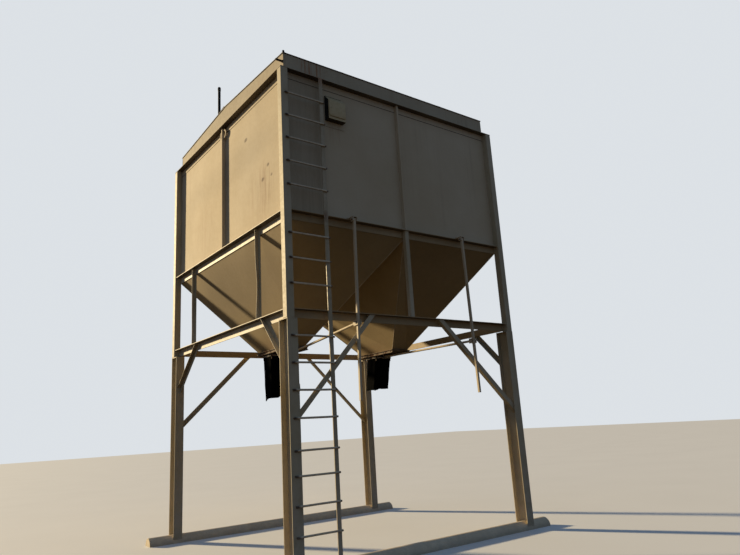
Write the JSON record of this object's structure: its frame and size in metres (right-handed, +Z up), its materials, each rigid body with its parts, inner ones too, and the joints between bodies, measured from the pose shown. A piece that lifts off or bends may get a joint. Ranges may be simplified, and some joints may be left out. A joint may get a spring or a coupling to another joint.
{
  "type": "overhead feed bin",
  "caption": "Square steel overhead feed bin on tall legs and pipe skids, with twin hoppers, lever-pulled slide gates, rubber skirts and a corner ladder.",
  "frame": {"origin": "centre of the outline on the ground, 67 mm in front of the centre of the box", "axes": "+Z up, the front with the ladder and the levers faces -Y, the ladder corner is at -X"},
  "size_m": [4.48, 3.9531, 6.86],
  "materials": {
    "tan_paint": "faded matt tan paint with rust at the edges",
    "weathered_steel": "worn grey-tan paint, dusty",
    "roof_steel": "dull dark sheet edge",
    "gate_steel": "dark, rust-browned steel",
    "black_paint": "dull black",
    "beige_cover": "satin light beige",
    "skirt_rubber": "dull black rubber sheet"
  },
  "bodies": {
    "bin_frame": {"skid_front": "weathered_steel", "skid_rear": "weathered_steel", "leg_front_left": "tan_paint", "leg_front_right": "tan_paint", "leg_rear_left": "tan_paint", "leg_rear_right": "tan_paint", "post_front_left": "tan_paint", "post_front_right": "tan_paint", "post_rear_left": "tan_paint", "post_rear_right": "tan_paint", "lower_beam_front": "tan_paint", "lower_beam_right": "tan_paint", "lower_beam_rear": "tan_paint", "lower_beam_left": "tan_paint", "box_beam_front": "tan_paint", "box_beam_right": "tan_paint", "box_beam_rear": "tan_paint", "box_beam_left": "tan_paint", "wall_front": "tan_paint", "wall_right": "tan_paint", "wall_rear": "tan_paint", "wall_left": "tan_paint", "top_flange": "tan_paint", "cap": "tan_paint", "roof": "roof_steel", "mast_pipe": "black_paint", "strut_front": "tan_paint", "strut_rear": "tan_paint", "strut_left_front": "tan_paint", "strut_left_rear": "tan_paint", "brace_front_left": "tan_paint", "brace_front_right": "tan_paint", "brace_rear_left": "tan_paint", "brace_rear_right": "tan_paint", "brace_left_front": "tan_paint", "brace_left_rear": "tan_paint", "brace_right_front": "tan_paint", "brace_right_rear": "tan_paint", "hopper_left": "tan_paint", "hopper_right": "tan_paint", "gate_frame_left": "gate_steel", "gate_frame_right": "gate_steel", "lever_bracket_left": "tan_paint", "lever_bracket_right": "tan_paint", "skirt_left": "skirt_rubber", "skirt_right": "skirt_rubber", "ladder": "tan_paint", "hood_box": "black_paint", "hood_cover": "beige_cover"},
    "pull_lever_left": {"lever_left": "tan_paint"},
    "slide_gate_left": {"gate_left": "gate_steel"},
    "pull_rod_left": {"rod_left": "tan_paint"},
    "pull_lever_right": {"lever_right": "tan_paint"},
    "slide_gate_right": {"gate_right": "gate_steel"},
    "pull_rod_right": {"rod_right": "tan_paint"}
  },
  "joints": [
    {"name": "lever_left_swing", "type": "hinge", "parent": "bin_frame", "child": "pull_lever_left", "pos_m": [-0.945, -1.9028, 4.046], "axis": [-1, 0, 0], "range_deg": [0, 14]},
    {"name": "gate_left_slide", "type": "slide", "parent": "bin_frame", "child": "slide_gate_left", "axis": [0, -1, 0], "range_m": [0, 0.32]},
    {"name": "rod_left_swing", "type": "hinge", "parent": "slide_gate_left", "child": "pull_rod_left", "pos_m": [-0.945, 0.0422, 2.56], "axis": [-1, 0, 0], "range_deg": [0, 0.8]},
    {"name": "lever_right_swing", "type": "hinge", "parent": "bin_frame", "child": "pull_lever_right", "pos_m": [0.945, -1.9028, 4.046], "axis": [-1, 0, 0], "range_deg": [0, 14]},
    {"name": "gate_right_slide", "type": "slide", "parent": "bin_frame", "child": "slide_gate_right", "axis": [0, -1, 0], "range_m": [0, 0.356]},
    {"name": "rod_right_swing", "type": "hinge", "parent": "slide_gate_right", "child": "pull_rod_right", "pos_m": [0.945, 0.0422, 2.6], "axis": [-1, 0, 0], "range_deg": [0, 1.4]}
  ],
  "couplings": [
    {"joint": "gate_left_slide", "follows": "lever_left_swing", "m_per_rad": 1.309},
    {"joint": "rod_left_swing", "follows": "lever_left_swing", "ratio": 0.0525},
    {"joint": "gate_right_slide", "follows": "lever_right_swing", "m_per_rad": 1.456},
    {"joint": "rod_right_swing", "follows": "lever_right_swing", "ratio": 0.095}
  ]
}
